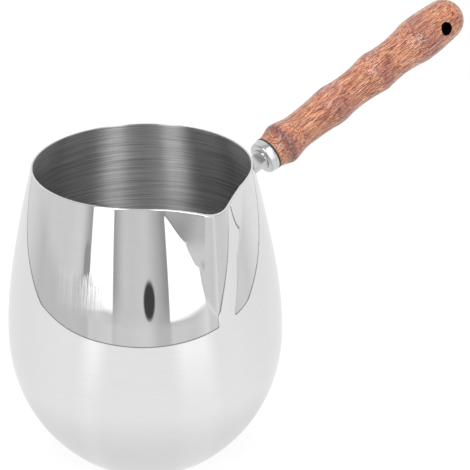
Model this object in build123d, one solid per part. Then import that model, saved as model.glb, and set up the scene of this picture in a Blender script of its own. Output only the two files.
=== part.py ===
from build123d import *
import math
import os

# Pot, outer face of the sheet, in millimetres
pot_height = 126.4
mouth_radius = 45.0
belly_radius = 56.6
belly_height = 53.0
foot_radius = 29.2
shoulder_curve_radius = 178.0
neck_start_height = 81.4
wall = 0.8
rim_rounding = 0.25

# Base: a narrow standing ring round a slightly raised middle
standing_ring_width = 4.2
base_step_width = 2.0
base_recess = 0.9
base_edge_radius = 6.0
base_step_radius = 1.5

# Spout, pressed out of the wall a little past a right angle from the handle
spout_angle = -92.0
spout_overhang = 4.4
spout_length = 55.5
spout_lip_radius = 12.0
spout_crease_radius = 9.5
lip_drop = 4.9
lip_dip_inset = 11.0
lip_spread_share = 0.2
crease_spread_share = 0.31
front_curve_share = 1.55
spout_point_angle = 1.6
plain_point_shares = (1.0, 0.75, 0.5, 0.0)
spout_height_shares = (0.12, 0.26, 0.4, 0.55, 0.7, 0.85, 1.0)

# Strap from the stud head to its welded foot on the wall
strap_below_rim = 19.7
strap_width = 8.4
strap_thickness = 2.4
strap_edge_rounding = 0.4
strap_bend_inside_radius = 3.3
foot_length = 24.0
foot_bedding = 0.3

# Handle line: distance of the wood from the wall, and how steeply it rises
handle_standoff = 18.9
handle_rise_angle = 19.6

# Collar and washer between the strap and the wood
ferrule_radius = 7.3
ferrule_length = 3.6
ferrule_taper = 0.4
ferrule_front_rounding = 0.8
ferrule_floor = 1.1
washer_thickness = 0.8
washer_proud = 0.05

# Stud: slotted head in the collar, shank into the wood
stud_head_margin = 0.1
stud_head_proud = 0.5
stud_head_rounding = 0.3
stud_slot_floor = 0.8
stud_shank_radius = 3.0
stud_end_chamfer = 0.8
stud_run_past_insert = 4.0

# Brass thread in the wood
insert_wall = 1.45
insert_length = 15.0
insert_sink = 1.0
bore_run_out = 3.0

# Wooden handle, its outline as shares of its length and of its thickest radius
handle_length = 113.7
handle_knot_radius = 9.9
handle_outline_shares = (
    (0.028, 0.793), (0.065, 0.927), (0.094, 0.880), (0.127, 0.798),
    (0.193, 0.779), (0.259, 0.810), (0.330, 0.876), (0.384, 0.813),
    (0.443, 0.794), (0.494, 0.831), (0.561, 0.915), (0.595, 0.873),
    (0.642, 0.839), (0.697, 0.870), (0.732, 0.920), (0.766, 0.989),
    (0.796, 0.998), (0.852, 0.979), (0.887, 0.946), (0.921, 0.911),
    (0.948, 0.858), (0.982, 0.585),
)
hang_hole_radius = 2.75
hang_hole_from_end = 14.8
hang_hole_turn_angle = 14.0

# Clearances
head_clearance = 0.1
shank_clearance = 0.2
slot_clearance = 0.05
thread_clearance = 0.05
cutting_margin = 5.0


# Pot's outline
def lower_arc():
    """Centre and radius of the arc from the base to the belly."""
    out = belly_radius - foot_radius
    radius = (out ** 2 + belly_height ** 2) / (out + out)
    return belly_radius - radius, belly_height, radius


def shoulder_arc():
    return belly_radius - shoulder_curve_radius, belly_height, shoulder_curve_radius


def neck_arc():
    """Centre and radius of the arc from the shoulder to the mouth; a hollow arc has a negative radius."""
    out, up, radius = shoulder_arc()
    start_out = on_arc((out, up, radius), neck_start_height)
    normal = ((start_out - out) / radius, (neck_start_height - up) / radius)
    chord = (mouth_radius - start_out, pot_height - neck_start_height)
    lean = chord[0] * normal[0] + chord[1] * normal[1]
    bend = -(chord[0] ** 2 + chord[1] ** 2) / (lean + lean)
    return start_out - bend * normal[0], neck_start_height - bend * normal[1], bend


def on_arc(arc, height, inset=0):
    """Distance from the pot's axis to an arc, or to its copy set in by the wall."""
    out, up, radius = arc
    return out + math.copysign(math.sqrt((radius - inset) ** 2 - (height - up) ** 2), radius)


def wall_radius(height, inset=0):
    """Distance from the pot's axis to the wall at one height."""
    if height > neck_start_height:
        return on_arc(neck_arc(), height, inset)
    if height > belly_height:
        return on_arc(shoulder_arc(), height, inset)
    return on_arc(lower_arc(), height, inset)


def pot_line(inset=0):
    """Outline of the pot's outer face from the middle of the base to the mouth, or its inner face."""
    step_angle = math.atan2(base_recess, base_step_width)
    ring_in = foot_radius - standing_ring_width + inset * math.tan(step_angle / 2)
    floor = base_recess + inset
    middle = Line((0, floor), (ring_in - base_step_width, floor))
    step = Line(middle @ 1, (ring_in, inset))
    out, up, radius = lower_arc()
    low_angle = math.degrees(math.asin((up - inset) / (radius - inset)))
    low = CenterArc((out, up), radius - inset, -low_angle, low_angle)
    ring = Line(step @ 1, low @ 0)
    out, up, radius = shoulder_arc()
    high_angle = math.degrees(math.asin((neck_start_height - up) / radius))
    high = CenterArc((out, up), radius - inset, 0, high_angle)
    mouth = (on_arc(neck_arc(), pot_height, inset), pot_height)
    neck = TangentArc(high @ 1, mouth, tangent=high % 1)
    line = Wire([middle.edge(), step.edge(), ring.edge(), low.edge(), high.edge(), neck.edge()])
    line = rounded(line, middle @ 1, base_step_radius + inset)
    line = rounded(line, step @ 1, base_step_radius - inset)
    return rounded(line, ring @ 1, base_edge_radius - inset)


def rounded(line, corner, radius):
    return line.fillet_2d(radius, line.vertices().sort_by_distance(corner)[:1])


def turned(line):
    """Solid of revolution between an open outline and the pot's axis."""
    low, high = sorted((line.position_at(0), line.position_at(1)), key=lambda point: point.Y)
    cap = Line(high, (0, high.Y))
    axis = Line(cap @ 1, low)
    face = make_face(line.edges() + [cap.edge(), axis.edge()])
    return revolve(Plane.XZ * face, axis=Axis.Z)


# Spout, drawn along +X until the whole pot is turned into place
def spout_start():
    return pot_height - spout_length


def spout_reach(height):
    """Distance from the pot's axis to the spout's front at one height."""
    rise = (height - spout_start()) / (spout_length - lip_drop)
    return wall_radius(height) + spout_overhang * rise ** front_curve_share


def around(centre, radius, angle):
    return (centre[0] + radius * math.cos(angle), centre[1] + radius * math.sin(angle))


def section(height, inset):
    """Outline of the pot at one height, with the spout and its two creases."""
    depth = pot_height - height
    ring = wall_radius(height, inset)
    reach = spout_reach(height) - inset
    lip = spout_lip_radius + lip_spread_share * depth - inset
    crease = spout_crease_radius + crease_spread_share * depth + inset
    centre = reach - lip
    across = (ring + crease) ** 2 + centre ** 2 - (lip + crease) ** 2
    turn = math.acos(across / (2 * centre * (ring + crease)))
    hub = around((0, 0), ring + crease, turn)
    lean = math.atan2(hub[1], hub[0] - centre)
    side = around((0, 0), ring, turn)
    join = around((centre, 0), lip, lean)
    mid = around(hub, crease, (turn + lean) / 2 + math.pi)
    return closed_outline(height, ring, side, mid, join, (reach, 0))


def plain_section(height, inset):
    """The round outline just under the spout, divided like the ones above it."""
    ring = wall_radius(height, inset)
    turn = math.radians(spout_point_angle)
    points = [around((0, 0), ring, turn * share) for share in plain_point_shares]
    return closed_outline(height, ring, *points)


def closed_outline(height, ring, side, mid, join, tip):
    """Closed outline from the back, over one crease, the tip and the other crease."""
    back = (-ring, 0)
    quarter = around((0, 0), ring, (math.atan2(side[1], side[0]) + math.pi) / 2)
    edges = [
        ThreePointArc(back, mirrored(quarter), mirrored(side)),
        ThreePointArc(mirrored(side), mirrored(mid), mirrored(join)),
        ThreePointArc(mirrored(join), tip, join),
        ThreePointArc(join, mid, side),
        ThreePointArc(side, quarter, back),
    ]
    return Pos(0, 0, height) * Wire([edge.edge() for edge in edges])


def mirrored(point):
    return (point[0], -point[1])


def spouted(inset):
    """Turned shape up to the spout, and the spouted shape from there to the mouth."""
    start = spout_start()
    block = extrude(Circle(belly_radius + cutting_margin), amount=start)
    heights = [start + share * spout_length for share in spout_height_shares]
    rings = [plain_section(start, inset)] + [section(height, inset) for height in heights]
    return (turned(pot_line(inset)) & block) + Solid.make_loft(rings)


def lip_cutter():
    """Everything above the dipped lip of the spout, whose arc passes through the tip and runs on."""
    dip_start = mouth_radius - lip_dip_inset
    across = spout_reach(pot_height - lip_drop) - dip_start
    radius = (across ** 2 + lip_drop ** 2) / (lip_drop + lip_drop)
    sweep = math.degrees(math.asin((across + cutting_margin) / radius))
    dip = CenterArc((dip_start, pot_height - radius), radius, 90, -sweep)
    top = pot_height + cutting_margin
    rest = Polyline(dip @ 1, ((dip @ 1).X, top), (dip_start, top), dip @ 0)
    face = Plane.XZ * make_face([dip.edge()] + rest.edges())
    return extrude(face, amount=mouth_radius, both=True)


def vessel():
    """Sheet steel pot in one piece with its spout."""
    pot = spouted(0) - spouted(wall) - lip_cutter()
    low = pot_height - lip_drop - rim_rounding
    rim = [edge for edge in pot.edges() if edge.bounding_box().min.Z > low]
    return Rot(0, 0, spout_angle) * fillet(rim, rim_rounding)


# Handle line, with z along the wood from its seat, y up and x to the far side
def handle_direction():
    rise = math.radians(handle_rise_angle)
    return math.cos(rise), math.sin(rise)


def strap_root():
    """Point on the wall where the handle's line starts."""
    height = pot_height - strap_below_rim
    return wall_radius(height), height


def handle_plane():
    root, along = strap_root(), handle_direction()
    seat = (root[0] + handle_standoff * along[0], 0, root[1] + handle_standoff * along[1])
    return Plane(origin=seat, x_dir=(0, 1, 0), z_dir=(along[0], 0, along[1]))


def turned_on_handle(face):
    """Revolve a face drawn as (radius, distance from the wood's seat)."""
    return handle_plane() * revolve(Plane.XZ * face, axis=Axis.Z)


def rod(radius, low, high):
    """Round bar on the handle's line between two distances from the wood's seat."""
    return handle_plane() * Pos(0, 0, low) * extrude(Circle(radius), amount=high - low)


def insert_radius():
    return stud_shank_radius + thread_clearance + insert_wall


def stud_end():
    return insert_sink + insert_length + stud_run_past_insert


def stud_face():
    return -washer_thickness - ferrule_length - stud_head_proud


def stud_head_seat():
    return -washer_thickness - ferrule_floor


def stud_head_radius():
    return strap_width / 2 + stud_head_margin


def strap_end():
    return stud_head_seat() - stud_slot_floor


def handle():
    """Turned wooden handle with four knots, bored for the brass thread and the hang hole."""
    points = [(ferrule_radius, 0)]
    points += [(handle_knot_radius * wide, handle_length * along) for along, wide in handle_outline_shares]
    points += [(0, handle_length)]
    side = Spline(points, tangents=[(0, 1), (-1, 0)], tangent_scalars=(1, 1))
    rest = Polyline((0, handle_length), (0, 0), (ferrule_radius, 0))
    wood = turned_on_handle(make_face([side.edge()] + rest.edges()))
    wood -= rod(insert_radius(), 0, insert_sink + insert_length)
    wood -= rod(stud_shank_radius + shank_clearance, 0, stud_end() + bore_run_out)
    return wood - hang_hole()


def hang_hole():
    """Hole from side to side near the wood's end, turned a little about the handle's line."""
    turn = math.radians(hang_hole_turn_angle)
    place = (0, 0, handle_length - hang_hole_from_end)
    hole = Plane(origin=place, z_dir=(-math.cos(turn), math.sin(turn), 0), x_dir=(0, 0, 1))
    reach = handle_knot_radius + cutting_margin
    return handle_plane() * hole * extrude(Circle(hang_hole_radius), amount=reach, both=True)


def handle_washer():
    """Thin black washer under the wood."""
    ring = rod(ferrule_radius + washer_proud, -washer_thickness, 0)
    return ring - rod(stud_shank_radius + shank_clearance, -washer_thickness, 0)


def ferrule():
    """Polished collar, slightly tapered, with a recess for the stud's head."""
    back = -washer_thickness
    front = back - ferrule_length
    front_radius = ferrule_radius - ferrule_taper
    corners = [(0, back), (ferrule_radius, back), (front_radius, front), (0, front)]
    face = make_face(Polyline(*corners, close=True))
    edge = face.vertices().sort_by_distance((front_radius, front))[0]
    body = turned_on_handle(fillet(edge, ferrule_front_rounding))
    body -= rod(stud_shank_radius + shank_clearance, front, back)
    return body - rod(stud_head_radius() + head_clearance, front, stud_head_seat())


def handle_stud():
    """Stud whose round head is slotted for the strap."""
    low, seat, high = stud_face(), stud_head_seat(), stud_end()
    head, shank = stud_head_radius(), stud_shank_radius
    corners = [(0, low), (head, low), (head, seat), (shank, seat)]
    corners += [(shank, high - stud_end_chamfer), (shank - stud_end_chamfer, high), (0, high)]
    face = make_face(Polyline(*corners, close=True))
    edge = face.vertices().sort_by_distance((head, low))[0]
    body = turned_on_handle(fillet(edge, stud_head_rounding))
    slot = Rectangle(head + head + cutting_margin, strap_thickness + slot_clearance + slot_clearance)
    return body - handle_plane() * Pos(0, 0, low) * extrude(slot, amount=strap_end() - low)


def threaded_insert():
    """Brass thread in the wood, drawn plain."""
    low, high = insert_sink, insert_sink + insert_length
    return rod(insert_radius(), low, high) - rod(stud_shank_radius + thread_clearance, low, high)


def strap_line():
    """Middle line of the strap: along the handle to the wall, then down the wall."""
    root, along = strap_root(), handle_direction()
    reach = handle_standoff + strap_end()
    start = (root[0] + reach * along[0], root[1] + reach * along[1])
    proud = strap_thickness / 2 - strap_edge_rounding - foot_bedding
    knee = (root[0] + proud, root[1] + proud * along[1] / along[0])
    low = knee[1] - foot_length
    middle = knee[1] - foot_length / 2
    foot = ThreePointArc(knee, (wall_radius(middle) + proud, middle), (wall_radius(low) + proud, low))
    line = Wire([Line(start, knee).edge(), foot.edge()])
    bend = line.vertices().sort_by_distance(knee)[:1]
    return line.fillet_2d(strap_bend_inside_radius + strap_thickness / 2, bend)


def handle_bracket():
    """Polished strap with a foot that beds on the pot's wall."""
    line = Plane.XZ * strap_line()
    start = Plane(origin=line @ 0, x_dir=(0, 1, 0), z_dir=line % 0)
    bar = RectangleRounded(strap_width, strap_thickness, strap_edge_rounding)
    return sweep(start * bar, path=line) - turned(pot_line())


def write_part(shape, name):
    shape.label = name
    export_step(shape, os.path.join("parts", name + ".step"))


os.makedirs("parts", exist_ok=True)
write_part(vessel(), "vessel")
write_part(handle_bracket(), "handle_bracket")
write_part(handle_stud(), "handle_stud")
write_part(ferrule(), "ferrule")
write_part(handle_washer(), "handle_washer")
write_part(handle(), "handle")
write_part(threaded_insert(), "threaded_insert")
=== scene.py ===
# Milk pan: a polished steel pot with a pressed spout and a turned wooden side handle
import math

import bpy
import numpy as np
from mathutils import Matrix, Vector


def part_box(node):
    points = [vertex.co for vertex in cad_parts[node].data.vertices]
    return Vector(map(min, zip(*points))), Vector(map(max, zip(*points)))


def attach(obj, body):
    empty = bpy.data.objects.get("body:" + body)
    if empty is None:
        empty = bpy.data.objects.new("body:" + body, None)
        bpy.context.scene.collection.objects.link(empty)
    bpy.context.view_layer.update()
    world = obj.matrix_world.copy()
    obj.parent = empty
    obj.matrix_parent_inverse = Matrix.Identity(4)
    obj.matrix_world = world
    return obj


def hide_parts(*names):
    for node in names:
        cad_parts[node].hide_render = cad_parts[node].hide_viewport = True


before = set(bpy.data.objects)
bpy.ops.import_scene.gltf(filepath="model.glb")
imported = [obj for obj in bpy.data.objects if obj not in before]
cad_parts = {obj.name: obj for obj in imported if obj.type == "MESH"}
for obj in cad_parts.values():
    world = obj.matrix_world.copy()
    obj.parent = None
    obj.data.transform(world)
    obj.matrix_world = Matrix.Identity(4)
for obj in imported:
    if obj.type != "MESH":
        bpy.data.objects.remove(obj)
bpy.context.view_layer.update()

MM = 0.001

# Pot, outer face of the sheet
POT_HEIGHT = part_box("vessel")[1].z
MOUTH_RADIUS = 45.0 * MM
BELLY_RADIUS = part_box("vessel")[1].x
BELLY_HEIGHT = 53.0 * MM
FOOT_RADIUS = 29.2 * MM
SHOULDER_CURVE = 178.0 * MM
NECK_START = 81.4 * MM
WALL = 0.8 * MM
RIM_ROUNDING = 0.25 * MM

# Base of the pot
STANDING_RING_WIDTH = 4.2 * MM
BASE_STEP_WIDTH = 2.0 * MM
BASE_RECESS = 0.9 * MM
BASE_EDGE = 6.0 * MM
BASE_STEP_EDGE = 1.5 * MM

# Spout
SPOUT_TURN = math.radians(-92.0)
SPOUT_OVERHANG = 4.4 * MM
SPOUT_LENGTH = 55.5 * MM
SPOUT_CURVE_SHARE = 1.55
SPOUT_LIP = 12.0 * MM
SPOUT_CREASE = 9.5 * MM
SPOUT_SIDE = math.radians(26.5)
SPOUT_SIDE_DEPTH = 50.0 * MM
LIP_DROP = 4.9 * MM
LIP_DIP_INSET = 11.0 * MM
LIP_SPREAD = 0.2
CREASE_SPREAD = 0.31

# Handle line: where the wood sits, and its rise
SEAT_OUT = 67.39 * MM
SEAT_HEIGHT = 113.04 * MM
HANDLE_RISE = math.radians(19.6)
HANDLE_LENGTH = 113.7 * MM
KNOT_RADIUS = 9.9 * MM
HANDLE_OUTLINE_SHARES = (
    (0.028, 0.793), (0.065, 0.927), (0.094, 0.880), (0.127, 0.798),
    (0.193, 0.779), (0.259, 0.810), (0.330, 0.876), (0.384, 0.813),
    (0.443, 0.794), (0.494, 0.831), (0.561, 0.915), (0.595, 0.873),
    (0.642, 0.839), (0.697, 0.870), (0.732, 0.920), (0.766, 0.989),
    (0.796, 0.998), (0.852, 0.979), (0.887, 0.946), (0.921, 0.911),
    (0.948, 0.858), (0.982, 0.585),
)
HANG_HOLE_RADIUS = 2.75 * MM
HANG_HOLE_FROM_END = 14.8 * MM
HANG_HOLE_TURN = math.radians(14.0)

# Washer, collar and stud, measured from the wood's seat
WASHER_THICKNESS = 0.8 * MM
WASHER_PROUD = 0.05 * MM
COLLAR_RADIUS = 7.3 * MM
COLLAR_LENGTH = 3.6 * MM
COLLAR_TAPER = 0.4 * MM
COLLAR_FRONT_ROUNDING = 0.8 * MM
COLLAR_FLOOR = 1.1 * MM
STUD_HEAD_RADIUS = 4.3 * MM
STUD_HEAD_PROUD = 0.5 * MM
STUD_HEAD_ROUNDING = 0.3 * MM
STUD_SHANK_RADIUS = 3.0 * MM
STUD_END = 20.0 * MM
STUD_END_CHAMFER = 0.8 * MM
STUD_SLOT_WIDTH = 2.5 * MM
STUD_SLOT_FLOOR = 0.8 * MM
HEAD_CLEARANCE = 0.1 * MM
SHANK_CLEARANCE = 0.2 * MM
INSERT_RADIUS = 4.5 * MM
INSERT_END = 16.0 * MM
BORE_END = 23.0 * MM
SMALL_EDGE = 0.12 * MM

# Strap from the stud's head to its foot on the wall
STRAP_BELOW_RIM = 19.7 * MM
HANDLE_STANDOFF = 18.9 * MM
STRAP_WIDTH = 8.4 * MM
STRAP_THICKNESS = 2.4 * MM
STRAP_EDGE_ROUNDING = 0.4 * MM
STRAP_BEND = 4.5 * MM
STRAP_FOOT_START = 1.8 * STRAP_BEND
STRAP_FOOT_LENGTH = 24.0 * MM
STRAP_PROUD = 0.5 * MM

# Photograph's viewpoint
CAMERA_PLACE = Vector((-0.7565, -0.9731, 0.6440))
CAMERA_AZIMUTH = math.radians(-39.6)
CAMERA_PITCH = math.radians(24.02)
CAMERA_ROLL = math.radians(-0.58)
CAMERA_LENS = 252.8
SENSOR = 36.0

# How finely curves are drawn
BASE_CORNER_STEPS = 6
BASE_EDGE_STEPS = 10
BELLY_STEPS = 46
SHOULDER_RINGS = 17
SPOUT_RINGS = 70
RIM_STEPS = 5
RIM_TRIES = 12
FINE_SIDE = math.radians(28.5)
FINE_STEPS = 121
COARSE_STEPS = 193
TURNED_STEPS = 96
OUTLINE_CORNER_STEPS = 6
OUTLINE_CURVE_STEPS = 6
STRAP_FOOT_STEPS = 12
STRAP_BEND_STEPS = 16
STRAP_EDGE_STEPS = 4
HOLE_STEPS = 64
TABLE_STEPS = 160
DOUBLE_POINTS = 0.01 * MM
SHARP_CORNER = math.radians(40)

# Worn patch of the pot's polish: turn from the camera in degrees, and height
WORN_TURNS = (-37, -19, 5)
WORN_HEIGHTS = (86 * MM, 95 * MM, 6 * MM)

# Wood's colours, among them painted glints and painted shade, and its purplish patches: share of the
# handle's length, and half width
WOOD_BROWNS = (
    (0.39, (0.15, 0.038, 0.021, 1)), (0.46, (0.4, 0.132, 0.064, 1)),
    (0.53, (0.53, 0.212, 0.11, 1)), (0.64, (0.72, 0.385, 0.24, 1)),
)
KNOT_PURPLE = (0.235, 0.075, 0.08, 1)
# Painted shade, purplish brown, in the hollow beside the swelling near the seat
PAINTED_CREASE_SHADE = (0.15, 0.042, 0.045, 1)
PORE_BROWN = (0.11, 0.03, 0.02, 1)
# Pale pink of the painted glints: streaks standing in for highlights on the lacquer
PALE_PAINTED_GLINT = (0.8, 0.54, 0.4, 1)
# Painted shade inside the hang hole
HOLE_PAINTED_SHADE = (0.012, 0.006, 0.005, 1)
WOOD_PATCHES = ((0.065, 6.5 * MM), (0.33, 8.0 * MM), (0.56, 7.0 * MM), (0.78, 9.0 * MM))
# Where the painted crease shade lies: share of the handle's length, and half width
BEAD_SHADE_SHARE = 0.054
BEAD_SHADE_WIDTH = 2.7 * MM

# Table: TABLE_SEEN is the glow's share of what the camera sees, the rest shows the pan's shadow
TABLE_RADIUS = 0.39
TABLE_SHIFT = 0.06
TABLE_EDGE_HEIGHT = 2.0 * MM
TABLE_EDGE_GREY = 0.25
TABLE_SEEN = 0.85
# Glow of the table as the pot mirrors it, at its painted shade and painted light levels
TABLE_PAINTED_SHADE = 0.76
TABLE_PAINTED_LIGHT = 1.26
TABLE_GLOW = 1.04
WHITE = (1, 1, 1, 1)

# Room that the steel mirrors, by turn from the camera and rise, in degrees
ROOM_FRONT = 0.52
ROOM_SIDES = 0.74
# Low and high turn, floor, softness and brightness of each white box
WHITE_BOXES = ((-46.5, -26.5, -6, 1.0, 1.4), (23, 56, -7, 1.2, 1.55))
# Low and high turn of the boxes overhead, which only the pot's inside mirrors
HIGH_BOXES = ((-42, -23), (22, 40))
HIGH_WHITE = 5.0
# Turn, rise, half width, half height and brightness of each dark spot
DARK_SPOTS = ((5.5, -4.7, 5.0, 2.3, 0.06), (-50, -3.5, 3.0, 2.0, 0.35))

# Lamp over the pan
LAMP_FORWARD = 0.1
LAMP_HEIGHT = 1.6
LAMP_AIM = Vector((0, 0, 0.1))
LAMP_SIZE = 1.4
LAMP_WATTS = 15


# Pot's shape, worked out with the spout along +X and turned into place at the end
def lower_curve():
    """Radius of the arc from the foot to the belly."""
    out = BELLY_RADIUS - FOOT_RADIUS
    return (out ** 2 + BELLY_HEIGHT ** 2) / (2 * out)


def neck_arc():
    """Centre and radius of the arc from the shoulder to the mouth."""
    rise = NECK_START - BELLY_HEIGHT
    across = math.sqrt(SHOULDER_CURVE ** 2 - rise ** 2)
    start = BELLY_RADIUS - SHOULDER_CURVE + across
    normal = (across / SHOULDER_CURVE, rise / SHOULDER_CURVE)
    chord = (MOUTH_RADIUS - start, POT_HEIGHT - NECK_START)
    lean = chord[0] * normal[0] + chord[1] * normal[1]
    radius = -(chord[0] ** 2 + chord[1] ** 2) / (2 * lean)
    return start - radius * normal[0], NECK_START - radius * normal[1], radius


def wall_radius(height, inset=0.0):
    """Distance from the axis to the wall above the belly, for heights in an array."""
    out, up, radius = neck_arc()
    neck = out + np.sqrt((radius - inset) ** 2 - (height - up) ** 2)
    low = np.minimum(height, NECK_START)
    shoulder = BELLY_RADIUS - SHOULDER_CURVE
    shoulder = shoulder + np.sqrt((SHOULDER_CURVE - inset) ** 2 - (low - BELLY_HEIGHT) ** 2)
    return np.where(height > NECK_START, neck, shoulder)


def spout_reach(height):
    """Distance from the axis to the spout's front."""
    rise = np.maximum(height - POT_HEIGHT + SPOUT_LENGTH, 0) / (SPOUT_LENGTH - LIP_DROP)
    return wall_radius(height) + SPOUT_OVERHANG * rise ** SPOUT_CURVE_SHARE


def spouted_radius(turn, height, inset):
    """Distance from the axis to the wall with its spout, by angle from the spout and height.

    A level cut of the spout is the lip's arc, a straight flank tangent to it, and the crease's
    reverse arc, which is tangent to the flank and to the ring of the wall.
    """
    turn = np.abs(turn)
    ring = wall_radius(height, inset)
    depth = POT_HEIGHT - height
    lip = SPOUT_LIP + LIP_SPREAD * depth - inset
    crease = SPOUT_CREASE + CREASE_SPREAD * depth + inset
    centre = spout_reach(height) - inset - lip
    across = (ring + crease) ** 2 + centre ** 2 - (lip + crease) ** 2
    side = np.arccos(np.clip(across / (2 * centre * (ring + crease)), -1, 1))
    side = np.maximum(side, SPOUT_SIDE * (1 - depth / SPOUT_SIDE_DEPTH))
    hub_x = (ring + crease) * np.cos(side)
    hub_y = (ring + crease) * np.sin(side)
    gap = np.hypot(hub_x - centre, hub_y)
    lean = np.arctan2(hub_y, hub_x - centre) - np.arccos(np.clip((lip + crease) / gap, -1, 1))
    lip_end = np.arctan2(lip * np.sin(lean), centre + lip * np.cos(lean))
    flank_end = np.arctan2(hub_y - crease * np.sin(lean), hub_x - crease * np.cos(lean))
    on_lip = centre * np.cos(turn)
    on_lip = on_lip + np.sqrt(np.maximum(lip ** 2 - (centre * np.sin(turn)) ** 2, 0))
    on_flank = (centre * np.cos(lean) + lip) / np.cos(turn - lean)
    toward = (ring + crease) * np.cos(turn - side)
    off = (ring + crease) * np.sin(turn - side)
    on_crease = toward - np.sqrt(np.maximum(crease ** 2 - off ** 2, 0))
    outside = np.where(turn < flank_end, on_flank, np.where(turn < side, on_crease, ring))
    bulged = np.where(turn < lip_end, on_lip, outside)
    return np.where(height > POT_HEIGHT - SPOUT_LENGTH, np.maximum(bulged, ring), ring)


def rim_height(turn, inset):
    """Height of the rim by angle from the spout: level, and dipped over the spout."""
    dip_start = MOUTH_RADIUS - LIP_DIP_INSET
    reach = float(spout_reach(POT_HEIGHT - LIP_DROP)) - dip_start
    dip_radius = (reach ** 2 + LIP_DROP ** 2) / (2 * LIP_DROP)
    height = np.full_like(turn, POT_HEIGHT)
    for _ in range(RIM_TRIES):
        out = np.clip(spouted_radius(turn, height, inset) * np.cos(turn) - dip_start, 0, reach)
        height = POT_HEIGHT - dip_radius + np.sqrt(dip_radius ** 2 - out ** 2)
    return height


def base_line(inset):
    """Half outline of the base and the lower wall, as (radius, height), from the middle out."""
    curve = lower_curve()
    centre_out = BELLY_RADIUS - curve
    edge_out = centre_out + math.sqrt((curve - BASE_EDGE) ** 2 - (BELLY_HEIGHT - BASE_EDGE) ** 2)
    ring_in = FOOT_RADIUS - STANDING_RING_WIDTH
    step_in = ring_in - BASE_STEP_WIDTH
    step = [(0.0, BASE_RECESS), (step_in, BASE_RECESS), (ring_in, 0.0), (edge_out, 0.0)]
    points = [step[0], (step_in / 2, BASE_RECESS)]
    for before, corner, after in zip(step, step[1:], step[2:]):
        points += rounded_corner(before, corner, after, BASE_STEP_EDGE, BASE_CORNER_STEPS)
    tangent = math.atan2(BASE_EDGE - BELLY_HEIGHT, edge_out - centre_out)
    points += arc_points((edge_out, BASE_EDGE), BASE_EDGE, -math.pi / 2, tangent, BASE_EDGE_STEPS)
    points += arc_points((centre_out, BELLY_HEIGHT), curve, tangent, 0, BELLY_STEPS)[1:]
    line = np.array(points)
    along = np.gradient(line, axis=0)
    along /= np.linalg.norm(along, axis=1)[:, None]
    shifted = line + inset * np.column_stack((-along[:, 1], along[:, 0]))
    shifted[0, 0] = 0
    shifted[-1] = (BELLY_RADIUS - inset, BELLY_HEIGHT)
    return shifted


def rounded_corner(before, corner, after, radius, count):
    """Points of a fillet between two straight runs."""
    before, corner, after = (np.array(point) for point in (before, corner, after))
    back = (before - corner) / np.linalg.norm(before - corner)
    on = (after - corner) / np.linalg.norm(after - corner)
    half = math.acos(float(np.clip(back @ on, -1, 1))) / 2
    bisector = (back + on) / np.linalg.norm(back + on)
    hub = corner + bisector * radius / math.sin(half)
    first = corner + back * radius / math.tan(half) - hub
    last = corner + on * radius / math.tan(half) - hub
    low = math.atan2(first[1], first[0])
    sweep = math.remainder(math.atan2(last[1], last[0]) - low, 2 * math.pi)
    return arc_points(tuple(hub), radius, low, low + sweep, count)


def arc_points(hub, radius, low, high, count):
    """Points of an arc between two angles."""
    angles = np.linspace(low, high, count)
    return [(hub[0] + radius * math.cos(a), hub[1] + radius * math.sin(a)) for a in angles]


def around_the_pot():
    """Angles from the spout, closer together over the spout and its creases."""
    near = np.linspace(-FINE_SIDE, FINE_SIDE, FINE_STEPS)
    far = np.linspace(FINE_SIDE, 2 * math.pi - FINE_SIDE, COARSE_STEPS)[1:-1]
    return np.concatenate((near, far))


def wrapped(turns):
    """Angles brought to between minus and plus half a turn."""
    return np.array([math.remainder(turn, 2 * math.pi) for turn in turns])


def pot_face(turns, inset):
    """Rings of one face of the pot from the middle of the base to just under the rim."""
    start = POT_HEIGHT - SPOUT_LENGTH
    rings = [np.tile((radius, height), (len(turns), 1)) for radius, height in base_line(inset)[1:]]
    for height in np.linspace(BELLY_HEIGHT, start, SHOULDER_RINGS)[1:]:
        rings.append(np.tile((float(wall_radius(height, inset)), height), (len(turns), 1)))
    top = rim_height(wrapped(turns), inset) - RIM_ROUNDING
    for share in np.linspace(0, 1, SPOUT_RINGS)[1:]:
        heights = start + share * (top - start)
        rings.append(np.column_stack((spouted_radius(wrapped(turns), heights, inset), heights)))
    return rings


def rim_rings(outer, inner):
    """Rings of the rounded rim from the outer face over to the inner one."""
    angles = np.linspace(0, math.pi / 2, RIM_STEPS)[1:]
    return rim_edge(outer, inner, angles) + rim_edge(inner, outer, angles[::-1])


def rim_edge(near, far, angles):
    """Rings of the rounding on one face of the sheet."""
    rings = []
    for angle in angles:
        share = RIM_ROUNDING / WALL * (1 - math.cos(angle))
        radius = near[:, 0] + share * (far[:, 0] - near[:, 0])
        rings.append(np.column_stack((radius, near[:, 1] + RIM_ROUNDING * math.sin(angle))))
    return rings


def pot_mesh(name, outside, inside):
    """The pot as one closed mesh, polished outside and brushed inside."""
    turns = around_the_pot()
    outer = pot_face(turns, 0.0)
    inner = pot_face(turns, WALL)
    rim = rim_rings(outer[-1], inner[-1])
    rings = outer + rim + inner[::-1]
    along, across = np.cos(turns + SPOUT_TURN), np.sin(turns + SPOUT_TURN)
    spots = [np.column_stack((out * along, out * across, high)) for out, high in (ring.T for ring in rings)]
    middles = np.array([[0, 0, BASE_RECESS], [0, 0, BASE_RECESS + WALL]])
    vertices = np.concatenate(spots + [middles])
    polished = len(outer) + len(rim) // 2
    faces, slots = pot_faces(len(rings), len(turns), polished)
    mesh = bpy.data.meshes.new(name)
    mesh.from_pydata(vertices.tolist(), [], faces)
    mesh.materials.append(outside)
    mesh.materials.append(inside)
    mesh.polygons.foreach_set("material_index", slots)
    mesh.polygons.foreach_set("use_smooth", [True] * len(faces))
    add_path_attribute(mesh, rings, turns)
    mesh.update()
    return placed(name, mesh)


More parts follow.
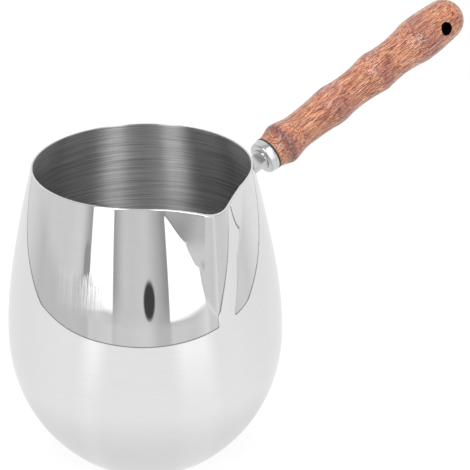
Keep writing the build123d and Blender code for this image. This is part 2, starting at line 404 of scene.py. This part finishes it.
def pot_faces(rows, count, polished):
    """Faces between the rings and over the two middles, and each face's material."""
    faces, slots = [], []
    for row in range(rows - 1):
        for column in range(count):
            right = (column + 1) % count
            low, high = row * count, (row + 1) * count
            faces.append((low + column, low + right, high + right, high + column))
            slots.append(0 if row < polished else 1)
    bottom, floor, last = rows * count, rows * count + 1, (rows - 1) * count
    for column in range(count):
        right = (column + 1) % count
        faces.append((bottom, right, column))
        slots.append(0)
        faces.append((floor, last + column, last + right))
        slots.append(1)
    return faces, slots


def add_path_attribute(mesh, rings, turns):
    """Each point's way round the pot and its distance along the sheet, for the turned finish."""
    middle = [ring.mean(axis=0) for ring in rings]
    steps = [0.0] + [float(np.linalg.norm(b - a)) for a, b in zip(middle, middle[1:])]
    along = np.cumsum(steps) + middle[0][0]
    values = np.zeros((len(mesh.vertices), 3))
    for row, distance in enumerate(along):
        block = slice(row * len(turns), (row + 1) * len(turns))
        values[block] = np.column_stack((np.cos(turns), np.sin(turns), np.full(len(turns), distance)))
    attribute = mesh.attributes.new("turned_path", "FLOAT_VECTOR", "POINT")
    attribute.data.foreach_set("vector", values.ravel())


def placed(name, mesh):
    """New object with its place in its mesh."""
    thing = bpy.data.objects.new(name, mesh)
    bpy.context.scene.collection.objects.link(thing)
    return thing


# Node trees
class Value:
    """A number in a node tree: sums with it add Math nodes."""

    def __init__(self, tree, socket):
        self.tree = tree
        self.socket = socket

    def math(self, operation, *others):
        """Result of a Math node on this number and others."""
        inputs = dict(enumerate((self, *others)))
        node = self.tree.node("ShaderNodeMath", {"operation": operation}, inputs)
        return Value(self.tree, node.outputs[0])

    def __add__(self, other):
        return self.math("ADD", other)

    def __mul__(self, other):
        return self.math("MULTIPLY", other)

    def __sub__(self, other):
        return self.math("SUBTRACT", other)

    def __rsub__(self, other):
        return (self * -1).math("ADD", other)

    def __truediv__(self, other):
        return self.math("DIVIDE", other)

    def __pow__(self, other):
        return self.math("POWER", other)

    def __lt__(self, other):
        return self.math("LESS_THAN", other)

    __radd__ = __add__
    __rmul__ = __mul__

    def clamp(self):
        """The number kept between 0 and 1."""
        return self.math("MAXIMUM", 0.0).math("MINIMUM", 1.0)

    def bump_at(self, place, width):
        """1 at a place, falling smoothly to 0 at a distance."""
        away = (self - place) / width
        return (1 - away * away).clamp() ** 2.0

    def step(self, low, high):
        """0 below low, 1 above high, smooth between."""
        inputs = {"Value": self, "From Min": low, "From Max": high}
        node = self.tree.node("ShaderNodeMapRange", {"interpolation_type": "SMOOTHSTEP"}, inputs)
        return Value(self.tree, node.outputs["Result"])

    def within(self, low, high, soft):
        """1 between low and high, with soft edges outside them."""
        return self.step(low - soft, low) * (1 - self.step(high, high + soft))


class Tree:
    """Short ways to add nodes to a tree."""

    def __init__(self, tree):
        self.tree = tree

    def node(self, kind, settings=None, inputs=None):
        """New node with its settings, then the values or links of its sockets."""
        node = self.tree.nodes.new(kind)
        for name, value in (settings or {}).items():
            if name == "stops":
                self.set_stops(node.color_ramp, value)
            else:
                setattr(node, name, value)
        for name, value in (inputs or {}).items():
            self.feed(node.inputs[name], value)
        return node

    def set_stops(self, ramp, stops):
        """Colours of a ramp and where they lie on it."""
        while len(ramp.elements) < len(stops):
            ramp.elements.new(0.5)
        for element, (place, color) in zip(ramp.elements, stops):
            element.position = place
            element.color = color

    def feed(self, socket, value):
        """Link a socket, or set it where the value is plain."""
        if isinstance(value, Value):
            value = value.socket
        if isinstance(value, bpy.types.NodeSocket):
            self.tree.links.new(value, socket)
        else:
            socket.default_value = value

    def parts(self, vector):
        """The three numbers of a vector."""
        outputs = self.node("ShaderNodeSeparateXYZ", None, {"Vector": vector}).outputs
        return [Value(self, outputs[axis]) for axis in "XYZ"]

    def turn_and_height(self, vector):
        """Turn of a place or direction from the camera's side, in degrees, and its height."""
        inputs = {"Vector": vector, "Angle": -CAMERA_AZIMUTH}
        turned = self.node("ShaderNodeVectorRotate", {"rotation_type": "Z_AXIS"}, inputs)
        right, back, high = self.parts(turned.outputs["Vector"])
        return right.math("ARCTAN2", back * -1) * math.degrees(1), high

    def noise(self, vector, scale, detail=2.0, roughness=0.5):
        """Cloudy noise from 0 to 1."""
        inputs = {"Vector": vector, "Scale": scale, "Detail": detail, "Roughness": roughness}
        return Value(self, self.node("ShaderNodeTexNoise", None, inputs).outputs["Fac"])

    def glow(self, color, strength=1.0):
        """Shader that shows one colour whatever light falls on it."""
        return self.node("ShaderNodeEmission", None, {"Color": color, "Strength": strength}).outputs[0]

    def mix_shaders(self, share, low, high):
        return self.node("ShaderNodeMixShader", None, {0: share, 1: low, 2: high}).outputs[0]

    def ray(self, kind):
        """1 for rays of one kind, such as those of the camera."""
        return Value(self, self.node("ShaderNodeLightPath").outputs[kind])


class Paint(Tree):
    """One material and its nodes."""

    def __init__(self, name):
        self.material = bpy.data.materials.new(name)
        self.material.use_nodes = True
        super().__init__(self.material.node_tree)
        self.shader = self.tree.nodes["Principled BSDF"]
        self.surface = self.tree.nodes["Material Output"].inputs["Surface"]

    def set(self, **values):
        """Feed the finish's sockets, named with low lines for spaces."""
        for name, value in values.items():
            self.feed(self.shader.inputs[name.replace("_", " ")], value)

    def place(self):
        """Place on the piece, in the shared frame."""
        return self.node("ShaderNodeTexCoord").outputs["Object"]

    def sheet_path(self):
        """Way round the pot and distance along its sheet."""
        return self.node("ShaderNodeAttribute", {"attribute_name": "turned_path"}).outputs["Vector"]

    def stretched(self, vector, scale, turn=(0, 0, 0), shift=(0, 0, 0)):
        """A vector scaled, turned and shifted."""
        inputs = {"Vector": vector, "Scale": scale, "Rotation": turn, "Location": shift}
        return self.node("ShaderNodeMapping", None, inputs).outputs["Vector"]

    def along_handle(self):
        """Place measured along the handle's line from the wood's seat, and across it."""
        start = SEAT_OUT * math.cos(HANDLE_RISE) + SEAT_HEIGHT * math.sin(HANDLE_RISE)
        lift = SEAT_HEIGHT * math.cos(HANDLE_RISE) - SEAT_OUT * math.sin(HANDLE_RISE)
        return self.stretched(self.place(), (1, 1, 1), (0, HANDLE_RISE, 0), (-start, 0, -lift))

    def turned_lines(self, fineness):
        """Fine lines left by turning about the handle's line."""
        along, across, up = self.parts(self.along_handle())
        out = (across * across + up * up) ** 0.5
        rings = self.node("ShaderNodeCombineXYZ", None, {"X": along * fineness, "Y": out * fineness})
        return self.noise(rings.outputs["Vector"], 1.0, 3.0, 0.6)

    def ramp(self, value, stops):
        """Colour for a number, from stops."""
        return self.node("ShaderNodeValToRGB", {"stops": stops}, {"Fac": value}).outputs["Color"]

    def mix(self, share, low, high):
        """Colour between two, by the colour sockets of a Mix node: factor, A, B and result."""
        inputs = {0: share, 6: low, 7: high}
        return self.node("ShaderNodeMix", {"data_type": "RGBA"}, inputs).outputs[2]

    def bump(self, height, strength, distance):
        """Fine relief of the finish."""
        inputs = {"Height": height, "Strength": strength, "Distance": distance}
        self.set(Normal=self.node("ShaderNodeBump", None, inputs).outputs["Normal"])


class Recipe(Tree):
    """Geometry Nodes with named inputs, worked out once into a plain mesh piece."""

    KINDS = {
        float: "NodeSocketFloat", int: "NodeSocketInt",
        Vector: "NodeSocketVector", bpy.types.Material: "NodeSocketMaterial",
    }

    def __init__(self, name, **sizes):
        super().__init__(bpy.data.node_groups.new(name, "GeometryNodeTree"))
        face = self.tree.interface
        face.new_socket("Line", in_out="INPUT", socket_type="NodeSocketGeometry")
        self.sizes = {}
        for size, value in sizes.items():
            kind = self.KINDS[type(value)]
            self.sizes[face.new_socket(size, in_out="INPUT", socket_type=kind).identifier] = value
        face.new_socket("Piece", in_out="OUTPUT", socket_type="NodeSocketGeometry")
        self.given = self.node("NodeGroupInput").outputs

    def step(self, kind, settings=None, **inputs):
        """First output of a node, whose inputs are named with low lines for spaces."""
        named = {name.replace("_", " "): value for name, value in inputs.items()}
        return self.node("GeometryNode" + kind, settings, named).outputs[0]

    def less(self, body, tool):
        """The body with a tool's shape cut from it."""
        inputs = {"Mesh 1": body, "Mesh 2": tool}
        return self.node("GeometryNodeMeshBoolean", {"solver": "EXACT"}, inputs).outputs["Mesh"]

    def close(self, shape):
        """Smooth shading with sharp corners, plain geometry and the piece's material."""
        soft = Value(self, self.step("InputMeshEdgeAngle")) < SHARP_CORNER
        shape = self.step("SetShadeSmooth", Geometry=shape, Shade_Smooth=True)
        shape = self.step("SetShadeSmooth", {"domain": "EDGE"}, Geometry=shape, Shade_Smooth=soft)
        shape = self.step("RealizeInstances", Geometry=shape)
        shape = self.step("SetMaterial", Geometry=shape, Material=self.given["material"])
        self.node("NodeGroupOutput", None, {"Piece": shape})

    def make(self, name, points, closed=False):
        """Work the recipe out on a line of points."""
        count = len(points)
        edges = [(step, (step + 1) % count) for step in range(count if closed else count - 1)]
        line = bpy.data.meshes.new(name + "_line")
        line.from_pydata(points, edges, [])
        holder = placed(name + "_line", line)
        modifier = holder.modifiers.new("recipe", "NODES")
        modifier.node_group = self.tree
        for identifier, value in self.sizes.items():
            modifier[identifier] = value
        shown = holder.evaluated_get(bpy.context.evaluated_depsgraph_get())
        mesh = bpy.data.meshes.new_from_object(shown)
        holder.modifiers.remove(modifier)
        bpy.data.objects.remove(holder)
        return placed(name, mesh)


# Turned and bent pieces of the handle, drawn as (radius, distance from the wood's seat)
def stud_face():
    """Front of the stud's head."""
    return -(WASHER_THICKNESS + COLLAR_LENGTH + STUD_HEAD_PROUD)


def head_seat():
    """Floor of the collar's recess, where the stud's head sits."""
    return -(WASHER_THICKNESS + COLLAR_FLOOR)


def strap_end():
    """Where the strap stops in the slot of the stud's head."""
    return head_seat() - STUD_SLOT_FLOOR


def eased(corners, radii, closed):
    """Outline with its corners rounded, a radius of 0 leaving one sharp."""
    count = len(corners)
    line = []
    for step, (corner, radius) in enumerate(zip(corners, radii)):
        if radius == 0 or not closed and step in (0, count - 1):
            line.append(corner)
        else:
            after = corners[(step + 1) % count]
            line += rounded_corner(corners[step - 1], corner, after, radius, OUTLINE_CORNER_STEPS)
    return line


def washer_outline():
    """Ring between the collar and the wood."""
    bore, rim = STUD_SHANK_RADIUS + SHANK_CLEARANCE, COLLAR_RADIUS + WASHER_PROUD
    corners = [(bore, -WASHER_THICKNESS), (rim, -WASHER_THICKNESS), (rim, 0), (bore, 0)]
    return eased(corners, (0, SMALL_EDGE, SMALL_EDGE, 0), True)


def collar_outline():
    """Collar with a recess for the stud's head and a rounded front edge."""
    back, front = -WASHER_THICKNESS, -WASHER_THICKNESS - COLLAR_LENGTH
    bore, recess = STUD_SHANK_RADIUS + SHANK_CLEARANCE, STUD_HEAD_RADIUS + HEAD_CLEARANCE
    corners = [(bore, head_seat()), (recess, head_seat()), (recess, front)]
    corners += [(COLLAR_RADIUS - COLLAR_TAPER, front), (COLLAR_RADIUS, back), (bore, back)]
    return eased(corners, (0, 0, SMALL_EDGE, COLLAR_FRONT_ROUNDING, SMALL_EDGE, 0), True)


def stud_outline():
    """Round head and plain shank."""
    shank, head = STUD_SHANK_RADIUS, STUD_HEAD_RADIUS
    corners = [(0, stud_face()), (head, stud_face()), (head, head_seat()), (shank, head_seat())]
    corners += [(shank, STUD_END - STUD_END_CHAMFER), (shank - STUD_END_CHAMFER, STUD_END), (0, STUD_END)]
    return eased(corners, (0, STUD_HEAD_ROUNDING, 0, 0, 0, 0, 0), False)


def handle_outline():
    """Bore for the thread, then the seat and the turned outside up to the handle's end."""
    shank, thread = STUD_SHANK_RADIUS + SHANK_CLEARANCE, INSERT_RADIUS
    bore = [(0, BORE_END), (shank, BORE_END), (shank, INSERT_END), (thread, INSERT_END), (thread, 0)]
    side = [(COLLAR_RADIUS, 0)]
    side += [(wide * KNOT_RADIUS, along * HANDLE_LENGTH) for along, wide in HANDLE_OUTLINE_SHARES]
    return bore + smooth_line(side + [(0, HANDLE_LENGTH)], (0, 1), (-1, 0), OUTLINE_CURVE_STEPS)


def smooth_line(points, first, last, count):
    """Points of a smooth curve through given points, with its direction given at both ends."""
    points = np.array(points)
    steps = np.linalg.norm(np.diff(points, axis=0), axis=1)[:, None]
    slopes = np.diff(points, axis=0) / steps
    inner = (slopes[:-1] * steps[1:] + slopes[1:] * steps[:-1]) / (steps[1:] + steps[:-1])
    along = np.vstack((first, inner, last))
    line = []
    for low, high, leave, arrive, step in zip(points, points[1:], along, along[1:], steps):
        for t in np.arange(count) / count:
            ends = low * (2 * t ** 3 - 3 * t ** 2 + 1) + high * (3 * t ** 2 - 2 * t ** 3)
            pull = leave * (t ** 3 - 2 * t ** 2 + t) + arrive * (t ** 3 - t ** 2)
            line.append(tuple(ends + pull * step))
    return line + [tuple(points[-1])]


def strap_path():
    """Middle line of the strap, from the stud's head to the wall and down it."""
    along = np.array((math.cos(HANDLE_RISE), math.sin(HANDLE_RISE)))
    root = np.array((0, POT_HEIGHT - STRAP_BELOW_RIM))
    root[0] = float(wall_radius(root[1]))
    start = root + (HANDLE_STANDOFF + strap_end()) * along
    knee = root + STRAP_PROUD / along[0] * along
    drops = np.linspace(STRAP_FOOT_START, STRAP_FOOT_LENGTH, STRAP_FOOT_STEPS)
    foot = [(float(wall_radius(knee[1] - drop)) + STRAP_PROUD, knee[1] - drop) for drop in drops]
    bend = rounded_corner(tuple(start), tuple(knee), foot[0], STRAP_BEND, STRAP_BEND_STEPS)
    return [(x, 0, z) for x, z in [tuple(start)] + bend + foot]


def turning(name, material, cuts=()):
    """Recipe of a turned piece: its outline swept round, cut, and set on the handle's line."""
    lean = Vector((0, math.pi / 2 - HANDLE_RISE, 0))
    seat = Vector((SEAT_OUT, 0, SEAT_HEIGHT))
    recipe = Recipe(name, swing=COLLAR_RADIUS, steps=TURNED_STEPS, lean=lean, seat=seat, material=material)
    given = recipe.given
    outline = recipe.step("MeshToCurve", Mesh=given["Line"])
    circle = recipe.step("CurvePrimitiveCircle", Radius=given["swing"], Resolution=given["steps"])
    body = recipe.step("CurveToMesh", Curve=circle, Profile_Curve=outline)
    body = recipe.step("MergeByDistance", Geometry=body, Distance=DOUBLE_POINTS)
    body = recipe.step("FlipFaces", Mesh=body)
    for cut in cuts:
        body = recipe.less(body, cut(recipe))
    recipe.close(recipe.step("Transform", Geometry=body, Translation=given["seat"], Rotation=given["lean"]))
    return recipe


def hang_hole(recipe):
    """Tool for the hang hole."""
    tool = recipe.step("MeshCylinder", Vertices=HOLE_STEPS, Radius=HANG_HOLE_RADIUS, Depth=4 * KNOT_RADIUS)
    place = (0, 0, HANDLE_LENGTH - HANG_HOLE_FROM_END)
    turn = (-math.pi / 2, 0, -HANG_HOLE_TURN)
    return recipe.step("Transform", Geometry=tool, Translation=place, Rotation=turn)


def strap_slot(recipe):
    """Tool for the slot in the stud's head that takes the strap."""
    depth = strap_end() - stud_face()
    box = recipe.step("MeshCube", Size=(STUD_SLOT_WIDTH, 4 * STUD_HEAD_RADIUS, 2 * depth))
    return recipe.step("Transform", Geometry=box, Translation=(0, 0, stud_face()))


def bent_strap(name, material):
    """Recipe of the strap: a bar with eased edges swept along its middle line."""
    sizes = {"width": STRAP_WIDTH, "thickness": STRAP_THICKNESS, "edge": STRAP_EDGE_ROUNDING}
    recipe = Recipe(name, **sizes, material=material)
    given = recipe.given
    path = recipe.step("MeshToCurve", Mesh=given["Line"])
    bar = recipe.step("CurvePrimitiveQuadrilateral", Width=given["width"], Height=given["thickness"])
    arcs = {"mode": "POLY"}
    bar = recipe.step("FilletCurve", arcs, Curve=bar, Count=STRAP_EDGE_STEPS, Radius=given["edge"])
    recipe.close(recipe.step("CurveToMesh", Curve=path, Profile_Curve=bar, Fill_Caps=True))
    return recipe


def turned_piece(name, node, outline, material, cuts=(), closed=False):
    """A turned piece in place of a node."""
    line = [(radius - COLLAR_RADIUS, -along, 0) for radius, along in outline]
    fit(turning(name, material, cuts).make(name, line, closed), node)


def fit(piece, node):
    """Put a piece in place of a node, on the pan's one body."""
    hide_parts(node)
    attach(piece, "root")
    return piece


# Finishes
def polished_steel():
    """Mirror polish of the pot's outside, with faint swirls, a slight waviness and polishing streaks."""
    paint = Paint("polished_steel_outside")
    place = paint.place()
    path = paint.sheet_path()
    swirl = paint.noise(paint.stretched(place, (1, 1, 9)), 22.0, 4.0)
    haze = paint.noise(place, 9.0, 3.0)
    turn, height = paint.turn_and_height(place)
    worn = turn.within(*WORN_TURNS) * height.within(*WORN_HEIGHTS)
    streaks = paint.noise(paint.stretched(path, (32, 32, 12)), 1.0, 4.0, 0.7) * worn
    rings = paint.noise(paint.stretched(path, (5, 5, 1100)), 1.0, 3.0, 0.6)
    color = paint.mix(haze * 0.5 + rings * 0.5, (0.74, 0.74, 0.738, 1), (0.86, 0.858, 0.855, 1))
    color = paint.mix((streaks * 3.0 - 1.25 * worn).clamp(), color, (0.97, 0.97, 0.97, 1))
    wave = paint.noise(paint.stretched(place, (1, 1, 0.35)), 26.0, 1.0)
    paint.set(Base_Color=color, Metallic=1.0, Roughness=0.018 + 0.014 * swirl + 0.1 * streaks)
    paint.bump(wave * 2.0 + streaks * 0.9, 0.1, 0.002)
    return paint.material


def brushed_steel():
    """Turned satin finish of the pot's inside, with plain lines round it."""
    paint = Paint("brushed_steel_inside")
    path = paint.sheet_path()
    fine = paint.noise(paint.stretched(path, (2.2, 2.2, 9000)), 1.0, 2.0, 0.7)
    broad = paint.noise(paint.stretched(path, (1.6, 1.6, 3000)), 1.0, 2.0, 0.6)
    lines = (broad - 0.5) * 2.2 + (fine - 0.5) * 1.4 + 0.5
    color = paint.mix(lines.clamp(), (0.42, 0.42, 0.425, 1), (0.95, 0.95, 0.955, 1))
    paint.set(Base_Color=color, Metallic=1.0, Roughness=0.3 + 0.08 * fine)
    paint.set(Anisotropic=1.0, Anisotropic_Rotation=0.25)
    paint.bump(fine, 0.1, 0.0003)
    return paint.material


def fitting_steel():
    """Turned and polished steel of the collar, the stud and the strap."""
    paint = Paint("polished_steel_fittings")
    lines = paint.turned_lines(2600)
    haze = paint.noise(paint.place(), 160.0, 3.0)
    color = paint.mix(lines, (0.6, 0.6, 0.605, 1), (0.78, 0.78, 0.785, 1))
    paint.set(Base_Color=color, Metallic=1.0, Roughness=0.24 + 0.08 * haze)
    paint.bump(lines, 0.015, 0.0003)
    return paint.material


def black_rubber():
    """Matt black of the washer, with a fine grain."""
    paint = Paint("black_washer_rubber")
    grain = paint.noise(paint.place(), 2500.0, 3.0)
    paint.set(Base_Color=paint.mix(grain, (0.012, 0.012, 0.012, 1), (0.03, 0.03, 0.03, 1)))
    paint.set(Roughness=0.45 + 0.2 * grain)
    paint.bump(grain, 0.2, 0.0002)
    return paint.material


def turned_brass():
    """Turned brass of the thread inside the wood."""
    paint = Paint("turned_brass")
    lines = paint.turned_lines(2000)
    color = paint.mix(lines, (0.75, 0.52, 0.2, 1), (0.88, 0.66, 0.3, 1))
    paint.set(Base_Color=color, Metallic=1.0, Roughness=0.25 + 0.15 * lines)
    return paint.material


def lacquered_wood():
    """Reddish brown wood under lacquer: dark dashes along the grain, purplish patches round the knots."""
    paint = Paint("lacquered_handle_wood")
    place = paint.along_handle()
    along, across, up = paint.parts(place)
    grain = paint.noise(paint.stretched(place, (40, 800, 800)), 1.0, 5.0, 0.62)
    streaks = paint.noise(paint.stretched(place, (170, 3400, 3400)), 1.0, 3.0, 0.65)
    pores = paint.noise(paint.stretched(place, (160, 3000, 3000), shift=(3, 5, 7)), 1.0)
    painted_glints = paint.noise(paint.stretched(place, (120, 2600, 2600), shift=(9, 2, 4)), 1.0)
    blotches = paint.noise(paint.stretched(place, (110, 190, 190)), 1.0, 4.0, 0.65)
    shade = grain * 0.36 + streaks * 0.64
    dashes = pores.step(0.53, 0.57)
    # Painted shade in the hollow beside the swelling near the seat
    crease_shade = along.bump_at(BEAD_SHADE_SHARE * HANDLE_LENGTH, BEAD_SHADE_WIDTH) * (0.8 + 0.3 * blotches)
    color = paint.ramp(shade, WOOD_BROWNS)
    color = paint.mix(0.62 * knot_patches(along, blotches), color, KNOT_PURPLE)
    color = paint.mix((crease_shade * 0.95).clamp(), color, PAINTED_CREASE_SHADE)
    color = paint.mix(dashes * 0.85, color, PORE_BROWN)
    # Painted glints: pale streaks along the grain in place of highlights on the lacquer
    color = paint.mix(painted_glints.step(0.56, 0.64) * 0.35, color, PALE_PAINTED_GLINT)
    # Painted shade: the hang hole's wall is painted near-black, rough, without coat and dark in its
    # reflections
    hole = inside_hang_hole(along, across, up)
    color = paint.mix(hole, color, HOLE_PAINTED_SHADE)
    paint.set(Base_Color=color, Roughness=0.2 + 0.12 * grain + 0.1 * dashes + 0.6 * hole)
    paint.set(Coat_Weight=(1 - dashes) * (1 - hole) * 0.5, Coat_Roughness=0.07, Metallic=hole)
    paint.bump(streaks * 0.6 + grain * 0.4 - dashes * 0.5, 0.4, 0.0005)
    return paint.material


def knot_patches(along, blotches):
    """Blotchy patches round the knots, from 0 to 1."""
    knots = 0.0
    for share, width in WOOD_PATCHES:
        knots = along.bump_at(share * HANDLE_LENGTH, width) + knots
    return (knots * (blotches * 4.0 - 1.35)).clamp()


def inside_hang_hole(along, across, up):
    """1 on the wall of the hang hole, where shade is painted near-black, and 0 on the wood round it."""
    off = (along - (HANDLE_LENGTH - HANG_HOLE_FROM_END)) ** 2.0
    side = across * math.sin(HANG_HOLE_TURN) + up * math.cos(HANG_HOLE_TURN)
    out = (off + side * side) ** 0.5
    return 1 - out.step(HANG_HOLE_RADIUS + SMALL_EDGE, HANG_HOLE_RADIUS + 3 * SMALL_EDGE)


def dress(node, material):
    """Give a carried-over piece its finish."""
    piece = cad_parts[node]
    piece.data.materials.clear()
    piece.data.materials.append(material)


# Studio
def add_table():
    """Round pale table top with a thin dark edge, which the pot mirrors as a line."""
    count = TABLE_STEPS
    away = Vector((-math.sin(CAMERA_AZIMUTH), math.cos(CAMERA_AZIMUTH))) * TABLE_SHIFT
    turns = [2 * math.pi * step / count for step in range(count)]
    spots = [(TABLE_RADIUS * math.cos(turn), TABLE_RADIUS * math.sin(turn)) for turn in turns]
    low = [(away.x + x, away.y + y, 0) for x, y in spots]
    high = [(x, y, TABLE_EDGE_HEIGHT) for x, y, _ in low]
    top = bpy.data.meshes.new("table_top")
    top.from_pydata(low, [], [tuple(range(count))])
    top.materials.append(table_white())
    placed("table_top", top)
    ring = bpy.data.meshes.new("table_edge")
    steps = [(step, (step + 1) % count) for step in range(count)]
    ring.from_pydata(low + high, [], [(here, on, on + count, here + count) for here, on in steps])
    ring.materials.append(edge_grey())
    edge = placed("table_edge", ring)
    edge.visible_camera = False
    edge.visible_diffuse = False
    edge.visible_shadow = False


def table_white():
    """Pale top: white to the camera but for the object's shadow; in the pot, a glow with painted shade
    round the foot and painted light under the two white boxes."""
    paint = Paint("pale_table")
    paint.set(Base_Color=(0.9, 0.9, 0.9, 1), Roughness=0.8)
    place = paint.place()
    turn = paint.turn_and_height(place)[0]
    across, back, _ = paint.parts(place)
    away = (across * across + back * back) ** 0.5
    # Painted shade round the pot's foot, and darker far to the sides, in the table as the pot mirrors it
    share = 0.1 + 0.28 * away.step(0.04, 0.09) - 0.09 * turn.math("ABSOLUTE").step(60, 110)
    # Painted light under each white box
    for low, high, *_ in WHITE_BOXES:
        share = share + (0.07 + 0.3 * away.step(0.07, 0.3)) * turn.within(low + 9, high - 12, 14)
    mirrored = paint.mix_shaders(share, paint.glow(WHITE, TABLE_PAINTED_SHADE), paint.glow(WHITE, TABLE_PAINTED_LIGHT))
    seen = paint.mix_shaders(TABLE_SEEN, paint.shader.outputs[0], paint.glow(WHITE, TABLE_GLOW))
    lit = paint.mix_shaders(paint.ray("Is Camera Ray"), paint.shader.outputs[0], seen)
    paint.feed(paint.surface, paint.mix_shaders(paint.ray("Is Glossy Ray"), lit, mirrored))
    return paint.material


def edge_grey():
    """Flat dark grey of the table's edge."""
    paint = Paint("table_edge")
    paint.feed(paint.surface, paint.glow((TABLE_EDGE_GREY, TABLE_EDGE_GREY, TABLE_EDGE_GREY, 1)))
    return paint.material


def add_world():
    """The room that the steel mirrors, by turn from the camera and by rise; white to the camera."""
    world = bpy.data.worlds.new("studio")
    world.use_nodes = True
    bpy.context.scene.world = world
    tree = Tree(world.node_tree)
    toward = tree.node("ShaderNodeTexCoord").outputs["Generated"]
    turn, high = tree.turn_and_height(toward)
    level = room_level(turn, high.math("ARCSINE") * math.degrees(1), tree.noise(toward, 2.2))
    shade = tree.node("ShaderNodeCombineColor", None, {"Red": level, "Green": level, "Blue": level})
    room = tree.node("ShaderNodeBackground", None, {"Color": shade.outputs["Color"]})
    clear = tree.node("ShaderNodeBackground", None, {"Color": WHITE})
    seen = tree.mix_shaders(tree.ray("Is Camera Ray"), room.outputs[0], clear.outputs[0])
    tree.feed(tree.tree.nodes["World Output"].inputs["Surface"], seen)


def room_level(turn, rise, blotches):
    """Grey of the room: darker in front and overhead, with the white boxes and dark spots in it."""
    wide = turn.math("ABSOLUTE")
    front = ROOM_FRONT + 0.17 * turn.within(-18, 2, 14)
    behind = wide.step(100, 125)
    just_under = rise.within(-16, -10, 4)
    level = front + (ROOM_SIDES - front) * wide.step(40, 60)
    level = level - 0.12 * just_under * (1 - turn.step(-60, -45))
    level = level * (0.9 + 0.2 * blotches)
    level = level * (1 - 0.6 * rise.step(8, 30) * (1 - behind))
    level = level + 0.16 * behind + 0.06 * just_under * (1 - wide.step(30, 50))
    for low, high, floor, soft, white in WHITE_BOXES:
        beside = turn.within(low, high, 12) * rise.within(floor + 3, 10, 6)
        level = level * (1 - 0.34 * beside)
        box = turn.within(low, high, soft) * rise.within(floor, 12, 1.2)
        level = level * (1 - box) + box * white
        level = level + 0.17 * turn.within(low + 2, high - 2, 4) * rise.within(-16, floor - 1, 1)
    for low, high in HIGH_BOXES:
        level = level + HIGH_WHITE * turn.within(low, high, 3) * rise.within(16, 68, 4)
    for place, height, half, tall, dark in DARK_SPOTS:
        away = ((turn - place) / half) ** 2.0 + ((rise - height) / tall) ** 2.0
        spot = 1 - away.step(0.6, 1.3)
        level = level * (1 - spot) + spot * dark
    return level


def add_top_lamp():
    """Large soft lamp over the pan, a little to the camera's side, not mirrored by the steel."""
    lamp = bpy.data.lights.new("top_soft_light", "AREA")
    lamp.shape = "SQUARE"
    lamp.size = LAMP_SIZE
    lamp.energy = LAMP_WATTS
    toward = CAMERA_AZIMUTH - math.pi / 2
    place = Vector((LAMP_FORWARD * math.cos(toward), LAMP_FORWARD * math.sin(toward), LAMP_HEIGHT))
    holder = placed("top_soft_light", lamp)
    holder.location = place
    holder.rotation_euler = (LAMP_AIM - place).to_track_quat("-Z", "Y").to_euler()
    holder.visible_glossy = False


def add_camera():
    """Camera in the photograph's viewpoint."""
    data = bpy.data.cameras.new("photo_view")
    data.lens = CAMERA_LENS
    data.sensor_width = SENSOR
    data.clip_end = 50
    camera = placed("photo_view", data)
    azimuth = Matrix.Rotation(CAMERA_AZIMUTH, 4, "Z")
    tilt = Matrix.Rotation(math.pi / 2 - CAMERA_PITCH, 4, "X")
    roll = Matrix.Rotation(CAMERA_ROLL, 4, "Z")
    camera.matrix_world = Matrix.Translation(CAMERA_PLACE) @ azimuth @ tilt @ roll
    bpy.context.scene.camera = camera


bpy.context.scene.view_settings.view_transform = "Standard"

fit(pot_mesh("pot", polished_steel(), brushed_steel()), "vessel")
fittings = fitting_steel()
fit(bent_strap("strap_recipe", fittings).make("strap", strap_path()), "handle_bracket")
turned_piece("stud", "handle_stud", stud_outline(), fittings, [strap_slot])
turned_piece("collar", "ferrule", collar_outline(), fittings, closed=True)
turned_piece("washer", "handle_washer", washer_outline(), black_rubber(), closed=True)
turned_piece("wood_handle", "handle", handle_outline(), lacquered_wood(), [hang_hole])
dress("threaded_insert", turned_brass())

add_table()
add_world()
add_top_lamp()
add_camera()
